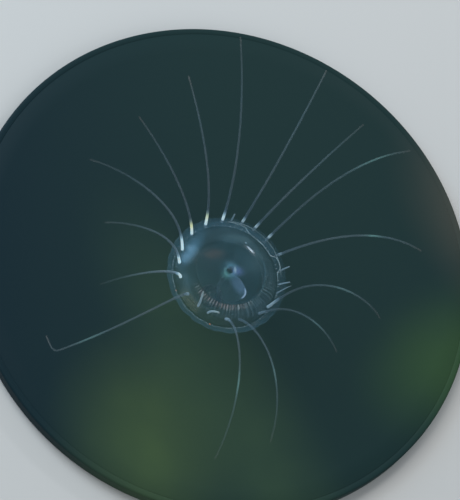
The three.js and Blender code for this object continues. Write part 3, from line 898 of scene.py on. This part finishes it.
def stomach_pouch():
    """A soft lens-shaped fold of the stomach beside the mouth, with a thick turned edge."""
    centre, reach, below = (3.7, -4.7), 4.9, 0.25
    rows, columns = 30, 96
    shares = np.concatenate([np.linspace(0, 1, rows), np.linspace(1, 0, rows)[1:]])
    level = np.concatenate([np.ones(rows), -np.ones(rows - 1)])
    turn = np.linspace(0, TURN, columns + 1)
    wave = 1.0 + 0.05 * np.sin(3 * turn + 0.5) + 0.03 * np.sin(5 * turn)
    radius = shares[:, None] * reach * wave
    rim = np.exp(-((shares - 0.93) / 0.07)**2)
    thick = 0.10 * np.sqrt(np.clip(1 - shares**2, 0, 1)) + 0.16 * rim * np.sqrt(np.clip(1 - shares**8, 0, 1))
    height = (STOMACH_FLOOR - below + level * thick)[:, None] + 0 * radius
    points = np.stack([centre[0] + radius * np.cos(turn), centre[1] + radius * np.sin(turn), height], axis=2)
    return grid_piece("stomach_pouch", points, chart_over(turn / TURN, shares), poles=(True, True))


def gonad_skin(organs):
    """The pleated ring: one large pleat to each lappet, with fine ridges along it."""
    inner, outer = organs.gonad_inner / MM, organs.gonad_outer / MM
    profile = spline([
        (inner, 4.85), (inner, 4.3), (12.4, 3.9), (13.7, 3.9), (outer, 4.3), (outer, 4.85)], 5)
    rows = [(r, z, (r - inner) / (outer - inner)) for r, z in profile]
    rows += [(mix(outer, inner, s), 4.88, 1 - s) for s in (0.25, 0.5, 0.75)] + rows[:1]

    def shape(radius, turn, height):
        across = turn / TURN * LAPPETS
        pleat = 0.5 - 0.5 * np.cos(TURN * across)
        ridge = np.sin(TURN * GONAD_RIDGES * across)
        low = smoothstep(-height, -4.8, -4.0)
        return radius, turn, height + low * (0.25 * pleat + 0.09 * ridge)

    return turned("gonad_pleats", rows, LAPPETS * GONAD_RIDGES * 10, shape)


def lip_skin():
    """The mouth's lip, puckered into short frills."""
    top, outer = STOMACH_FLOOR - 0.3, MOUTH_RADIUS + LIP_WIDTH
    profile = spline([
        (MOUTH_RADIUS, top), (MOUTH_RADIUS, top - 0.5), (MOUTH_RADIUS + LIP_WIDTH * 0.4, top - 0.75),
        (MOUTH_RADIUS + LIP_WIDTH * 0.9, top - 0.5), (outer, top)], 5)
    rows = [(r, z, (r - MOUTH_RADIUS) / LIP_WIDTH) for r, z in profile]
    rows += [(mix(outer, MOUTH_RADIUS, s), top + 0.02, 1 - s) for s in (0.25, 0.5, 0.75)]

    def shape(radius, turn, height):
        out = smoothstep(radius, MOUTH_RADIUS, outer)
        pucker = 0.06 * np.sin(9 * turn) * out
        return radius - 0.10 * out * (0.5 + 0.5 * np.sin(12 * turn)), turn, height + pucker

    return turned("mouth_frill", rows + rows[:1], 144, shape)


def sense_organs():
    """Three little clubs under the edge of every lappet, and two bright ones, inside the margin."""
    sides, steps = 8, 7
    turns = lappet_turns(LAPPETS * 4)
    places = [(math.degrees(turn), 0.0) for index, turn in enumerate(turns[:-1]) if index % 4]
    corners, faces, warmth = [], [], []
    for azimuth, warm in places + [(236, 0.7), (288, 1.0)]:
        around = math.radians(azimuth + 2.0 * math.sin(7.0 * azimuth))
        out = np.array([math.cos(around), math.sin(around), 0.0])
        side = np.array([-out[1], out[0], 0.0])
        over = np.array([0.45 * out[0], 0.45 * out[1], 0.9])
        foot = out * (MARGIN_RADIUS + 0.5) + np.array([0.0, 0.0, MARGIN_HEIGHT + 0.3])
        thick = 0.11 + 0.17 * warm**2
        start = len(corners)
        for step in range(steps + 1):
            share = step / steps
            radius = thick * (0.45 + 0.55 * math.sin(math.pi * min(1.0, 0.15 + share))**0.8)
            radius = radius if 0 < step < steps else 0.02
            centre = foot - out * 0.5 * share - np.array([0.0, 0.0, 0.25 * share])
            for index in range(sides):
                turn = TURN * index / sides
                corners.append(centre + radius * (math.cos(turn) * side + math.sin(turn) * over))
                warmth.append(warm)
        rings = np.arange(start, len(corners)).reshape(steps + 1, sides).tolist()
        for low, high in zip(rings, rings[1:]):
            for index in range(sides):
                after = (index + 1) % sides
                faces.append((low[index], high[index], high[after], low[after]))
        faces += [rings[0], rings[-1][::-1]]
    piece = add_piece("sense_organs", corners, faces)
    mark_corners(piece, "warm", warmth)
    return piece


# ---- Stand ----

def corner_arc(radius, height, size, start, steps=6):
    """Points round a quarter circle about (radius, height), from the angle `start` in degrees."""
    angles = np.radians(np.linspace(start, start + 90, steps + 1))
    return [(radius + size * math.cos(a), height + size * math.sin(a), 0.0) for a in angles]


def base_skin(stand):
    """The round base with rounded edges and one fine turned line round its top."""
    low = -BELL_CENTRE.z / MM
    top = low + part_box("stand_base")[1].z / MM
    wide, bevel = stand.base_radius / MM, stand.base_bevel / MM
    line = wide - 2.2
    rows = [(0.0, low, 0.0), (wide * 0.5, low, 0.0), (wide - bevel - 0.2, low, 0.0)]
    rows += corner_arc(wide - bevel, low + bevel, bevel, -90)
    rows += corner_arc(wide - bevel, top - bevel, bevel, 0)
    rows += [(line + out, top - depth, 0.0) for out, depth in (
        (0.3, 0.0), (0.2, 0.05), (0.0, 0.22), (-0.2, 0.05), (-0.3, 0.0))]
    rows += [(wide * share, top, 0.0) for share in (0.9, 0.6, 0.3, 0.1, 0.0)]
    return turned("stand_base_skin", rows, 288, poles=(True, True), centre=middle_of("stand_base"))


def rod_skin(stand):
    """The clear rod, which swells in a hollow curve into its round foot."""
    low, end = ((corner.z - BELL_CENTRE.z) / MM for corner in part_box("stand_rod"))
    slim, wide, curve = stand.rod_radius / MM, stand.foot_radius / MM, 0.6
    foot = low + 1.4
    rows = [(0.0, low, 0.0), (wide - 0.1, low, 0.0), (wide, low + 0.1, 0.0)]
    rows += corner_arc(wide - curve, foot - curve, curve, 0)
    rows += reversed(corner_arc(slim + curve, foot + curve, curve, 180))
    rows += [(slim, mix(foot + 0.7, end - 0.2, share), 0.0) for share in np.linspace(0.0, 1.0, 12)]
    rows += [(slim - 0.15, end - 0.03, 0.0), (0.0, end - 0.02, 0.0)]
    return turned("stand_rod_skin", rows, 48, poles=(True, True))


# ---- Tentacles ----

def tentacle_path(spec, steps, sink):
    """Centres and cross directions along a tentacle, in millimetres, from its root."""
    def heading(share):
        hook = spec.hook * smoothstep(share, 1 - HOOK_SHARE, 1 - HOOK_SHARE / 2)
        sideways = spec.lean + spec.swing * share**SWING_LATENESS + hook
        up = np.radians(mix(spec.rise, spec.droop, share**spec.bend))
        turn = np.radians(spec.azimuth + sideways)
        along = np.stack([np.cos(up) * np.cos(turn), np.cos(up) * np.sin(turn), np.sin(up)], axis=-1)
        side = np.stack([-np.sin(turn), np.cos(turn), 0 * turn], axis=-1)
        return along, side

    around = math.radians(spec.azimuth)
    root = np.array([ROOT_RADIUS * math.cos(around), ROOT_RADIUS * math.sin(around), ROOT_HEIGHT])
    root = root - heading(np.array(0.0))[0] * sink
    halves, _ = heading((np.arange(steps) + 0.5) / steps)
    centres = np.vstack([root, root + np.cumsum(halves * spec.length / steps, axis=0)])
    along, side = heading(np.arange(steps + 1) / steps)
    return centres, side, np.cross(along, side)


def tentacle_skin(name, spec, settings):
    """One unbroken tapering skin with a full root, fine rings of cells and a rounded tip."""
    sides, steps_per_cell = 14, 6
    length, reach = spec.length, spec.reach
    cell = settings.cell_length / MM
    steps = max(60, int(length / cell * steps_per_cell))
    sink = settings.root_sink / MM
    thick = spec.thick or settings.root_thickness / MM
    thin = spec.thin or spec.thick or settings.tip_thickness / MM
    centres, side, up = tentacle_path(spec, steps, sink)
    share = np.arange(steps + 1) / steps
    distance = share * length
    past = distance - sink
    radius = mix(thick, thin, share**0.7) / 2
    radius = radius * (1 + 0.03 * np.cos(TURN * distance / cell))
    radius = radius * (1 + 0.06 * np.exp(-(past / 0.8)**2))
    for far, cap in ((length - distance, thin / 2), (distance, 0.35)):
        near = np.clip(far / cap, 0.0, 1.0)
        radius = radius * np.sqrt(near * (2 - near))
    turn = np.linspace(0, TURN, sides + 1)
    points = centres[:, None, :] + radius[:, None, None] * (
        np.cos(turn)[:, None] * side[:, None, :] + np.sin(turn)[:, None] * up[:, None, :])
    piece = grid_piece(name, points, chart_over(turn / TURN, distance / cell), poles=(True, True))

    lit = smoothstep(past, spec.inset - 0.6, spec.inset + 0.5) if spec.inset else 1.0
    tail, fade = spec.tail
    glow = spec.glow * (1.0 - smoothstep(past, 0.5 * reach, 1.3 * reach))
    marks = {
        "share": share,
        "tone": np.interp(share, (0.08, 0.4, 0.8), spec.tone) * mix(0.5, 1.0, lit),
        "glow": mix(0.25, 1.0, lit) * np.maximum(glow, tail * np.exp(-np.maximum(past, 0.0) / fade)),
        "warm": spec.warm * np.exp(-((past - 0.75 * reach) / (0.3 * reach))**2),
        "shine": spec.shine * np.exp(-((share - spec.at) / spec.span)**2),
    }
    row_of = np.concatenate([[0], np.repeat(np.arange(1, steps), sides), [steps]])
    for mark, values in marks.items():
        mark_corners(piece, mark, values[row_of])
    return piece


# ---- Stage ----

def lay_floor(stage):
    half = stage.floor_size / 2
    mesh = bpy.data.meshes.new("floor")
    mesh.from_pydata(
        [(-half, -half, 0), (half, -half, 0), (half, half, 0), (-half, half, 0)], [], [(0, 1, 2, 3)])
    mesh.materials.append(Finish("floor_paint", 0.8, Specular_IOR_Level=0.1).done(stage.floor_colour))
    add_object("floor", mesh)
    world = bpy.data.worlds.new("studio")
    world.use_nodes = True
    background = world.node_tree.nodes["Background"]
    background.inputs["Color"].default_value = (0.80, 0.84, 0.86, 1.0)
    background.inputs["Strength"].default_value = 0.35 * stage.light
    bpy.context.scene.world = world


def add_light(name, towards, distance, size, radiance, colour):
    """A rectangular light that faces the bell from a direction, with the given radiance."""
    data = bpy.data.lights.new(name, "AREA")
    data.shape = "RECTANGLE"
    data.size, data.size_y = size
    data.energy = radiance * math.pi * size[0] * size[1]
    data.color = colour
    light = add_object(name, data)
    way = Vector(towards).normalized()
    light.location = BELL_CENTRE + way * distance
    light.rotation_mode = "QUATERNION"
    light.rotation_quaternion = way.to_track_quat("Z", "Y")


def set_lights(stage):
    for name, towards, distance, size, radiance, colour in (
            ("key", (-0.75, 0.25, 1.0), 1.3, (0.9, 0.9), 3.2, (1.0, 0.98, 0.95)),
            ("fill", (0.9, -0.5, 0.9), 1.5, (1.2, 1.2), 0.8, (0.9, 0.96, 1.0)),
            ("side", (-0.877, 0.0955, 0.472), 0.8, (0.45, 0.40), 4.0, (0.55, 0.80, 1.0)),
            ("strip", (0.073, 0.870, 0.488), 0.6, (0.16, 0.035), 26.0, (0.95, 0.96, 1.0))):
        add_light(name, towards, distance, size, radiance * stage.light, colour)


def set_camera(stage):
    data = bpy.data.cameras.new("camera")
    data.sensor_width = 36.0
    data.lens = data.sensor_width * stage.distance / stage.view_height
    data.clip_start, data.clip_end = 0.05, 20.0
    tilt, roll = stage.elevation, stage.roll
    back = Vector((0.0, -math.cos(tilt), math.sin(tilt)))
    level_up = Vector((0.0, math.sin(tilt), math.cos(tilt)))
    level_right = Vector((1.0, 0.0, 0.0))
    right = level_right * math.cos(roll) + level_up * math.sin(roll)
    up = level_up * math.cos(roll) - level_right * math.sin(roll)
    camera = add_object("camera", data)
    camera.matrix_world = Matrix((right, up, back)).transposed().to_4x4()
    camera.location = CAMERA_AIM * MM + back * stage.distance
    scene = bpy.context.scene
    scene.camera = camera
    scene.view_settings.view_transform = "Standard"
    scene.cycles.transparent_max_bounces = 32


# ---- Operators ----

class JELLYFISH_OT_bell(bpy.types.Operator):
    """Build the bell's skin with its lappets and grooves"""
    bl_idname = "jellyfish.bell"
    bl_label = "Bell"

    def execute(self, context):
        bell = context.scene.jellyfish.bell
        dress(bell_skin(bell), jelly_finish(bell), ["umbrella_disc", "lappet_ring"])
        return {"FINISHED"}


class JELLYFISH_OT_velum(bpy.types.Operator):
    """Build the thin shelf inside the margin"""
    bl_idname = "jellyfish.velum"
    bl_label = "Velum"

    def execute(self, context):
        dress(velum_skin(context.scene.jellyfish.organs), velum_finish(), ["velum"])
        return {"FINISHED"}


class JELLYFISH_OT_stomach(bpy.types.Operator):
    """Build the stomach and its folded pouch"""
    bl_idname = "jellyfish.stomach"
    bl_label = "Stomach"

    def execute(self, context):
        organs = context.scene.jellyfish.organs
        dress(stomach_skin(organs), stomach_finish(organs), ["stomach"])
        dress(stomach_pouch(), pouch_finish())
        return {"FINISHED"}


class JELLYFISH_OT_gonads(bpy.types.Operator):
    """Build the pleated ring of gonads"""
    bl_idname = "jellyfish.gonads"
    bl_label = "Gonads"

    def execute(self, context):
        organs = context.scene.jellyfish.organs
        dress(gonad_skin(organs), gonad_finish(organs), ["gonad_ring"])
        return {"FINISHED"}


class JELLYFISH_OT_mouth(bpy.types.Operator):
    """Build the lip round the mouth"""
    bl_idname = "jellyfish.mouth"
    bl_label = "Mouth"

    def execute(self, context):
        dress(lip_skin(), lip_finish(context.scene.jellyfish.organs), ["mouth_lip"])
        return {"FINISHED"}


class JELLYFISH_OT_tentacles(bpy.types.Operator):
    """Build the full-grown and the young tentacles"""
    bl_idname = "jellyfish.tentacles"
    bl_label = "Tentacles"

    def execute(self, context):
        settings = context.scene.jellyfish.tentacles
        flesh = tentacle_finish(settings)
        for kind, specs in (("tentacle", TENTACLES), ("young_tentacle", YOUNG_TENTACLES)):
            for index, spec in enumerate(specs, 1):
                stem = f"{kind}_{index:02d}"
                lengths = [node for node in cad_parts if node.startswith(stem)]
                if not lengths:
                    raise RuntimeError(f"the frame has no lengths of {stem}")
                dress(tentacle_skin(f"{stem}_skin", spec, settings), flesh, lengths)
        return {"FINISHED"}


class JELLYFISH_OT_sense_organs(bpy.types.Operator):
    """Build the sense organs along the margin"""
    bl_idname = "jellyfish.sense_organs"
    bl_label = "Sense organs"

    def execute(self, context):
        dress(sense_organs(), sense_organ_finish())
        return {"FINISHED"}


class JELLYFISH_OT_stand(bpy.types.Operator):
    """Build the lacquered base and the clear rod"""
    bl_idname = "jellyfish.stand"
    bl_label = "Stand"

    def execute(self, context):
        stand = context.scene.jellyfish.stand
        dress(base_skin(stand), lacquer_finish(stand), ["stand_base"])
        dress(rod_skin(stand), acrylic_finish(stand), ["stand_rod"])
        return {"FINISHED"}


class JELLYFISH_OT_stage(bpy.types.Operator):
    """Lay the floor and set the lights and the camera"""
    bl_idname = "jellyfish.stage"
    bl_label = "Stage"

    def execute(self, context):
        stage = context.scene.jellyfish.stage
        lay_floor(stage)
        set_lights(stage)
        set_camera(stage)
        return {"FINISHED"}


OPERATORS = [
    JELLYFISH_OT_bell, JELLYFISH_OT_velum, JELLYFISH_OT_stomach, JELLYFISH_OT_gonads,
    JELLYFISH_OT_mouth, JELLYFISH_OT_sense_organs, JELLYFISH_OT_tentacles, JELLYFISH_OT_stand,
    JELLYFISH_OT_stage,
]


class JELLYFISH_PT_panel(bpy.types.Panel):
    """Lists the pieces and their settings"""
    bl_idname = "JELLYFISH_PT_panel"
    bl_label = "Jellyfish"
    bl_space_type = "VIEW_3D"
    bl_region_type = "UI"
    bl_category = "Jellyfish"

    def draw(self, context):
        for operator in OPERATORS:
            self.layout.operator(operator.bl_idname)
        settings = context.scene.jellyfish
        for group in (settings.bell, settings.organs, settings.tentacles, settings.stand, settings.stage):
            box = self.layout.box()
            for name in group.__annotations__:
                box.prop(group, name)


CLASSES = [
    BellSettings, OrganSettings, TentacleSettings, StandSettings, StageSettings, JellyfishSettings,
    *OPERATORS, JELLYFISH_PT_panel,
]


def register():
    for entry in CLASSES:
        bpy.utils.register_class(entry)
    bpy.types.Scene.jellyfish = bpy.props.PointerProperty(type=JellyfishSettings)


def unregister():
    del bpy.types.Scene.jellyfish
    for entry in reversed(CLASSES):
        bpy.utils.unregister_class(entry)


def main():
    register()
    bpy.ops.jellyfish.bell()
    bpy.ops.jellyfish.velum()
    bpy.ops.jellyfish.stomach()
    bpy.ops.jellyfish.gonads()
    bpy.ops.jellyfish.mouth()
    bpy.ops.jellyfish.sense_organs()
    bpy.ops.jellyfish.tentacles()
    bpy.ops.jellyfish.stand()
    bpy.ops.jellyfish.stage()


if __name__ == "__main__":
    main()
